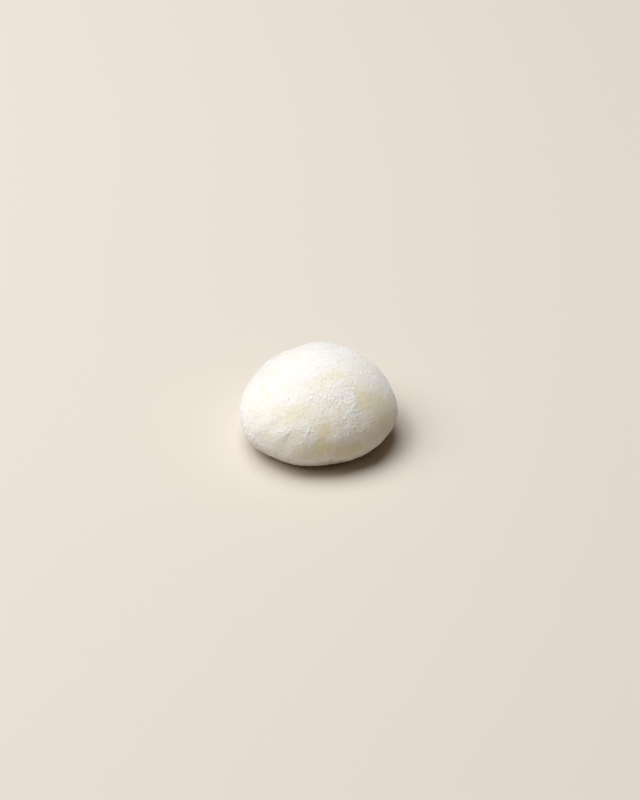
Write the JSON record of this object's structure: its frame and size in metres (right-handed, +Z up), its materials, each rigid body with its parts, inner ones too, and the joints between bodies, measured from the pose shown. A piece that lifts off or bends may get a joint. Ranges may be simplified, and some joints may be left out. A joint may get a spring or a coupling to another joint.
{
  "type": "mochi rice cake",
  "caption": "Round, uneven ball of soft white rice dough, slumped to a low dome on a flat foot and dusted all over with starch.",
  "frame": {"origin": "middle of the plan's bounding box, on the plane that the flat foot rests on", "axes": "+Z up out of the top of the dome, -Y towards the person who eats it, +X to that person's right"},
  "size_m": [0.0594, 0.061, 0.0333],
  "materials": {
    "starch_dusted_dough": "matt, translucent off-white rice dough under an uneven coat of fine white starch"
  },
  "bodies": {
    "root": {"mochi_rice_cake": "starch_dusted_dough"}
  },
  "joints": []
}
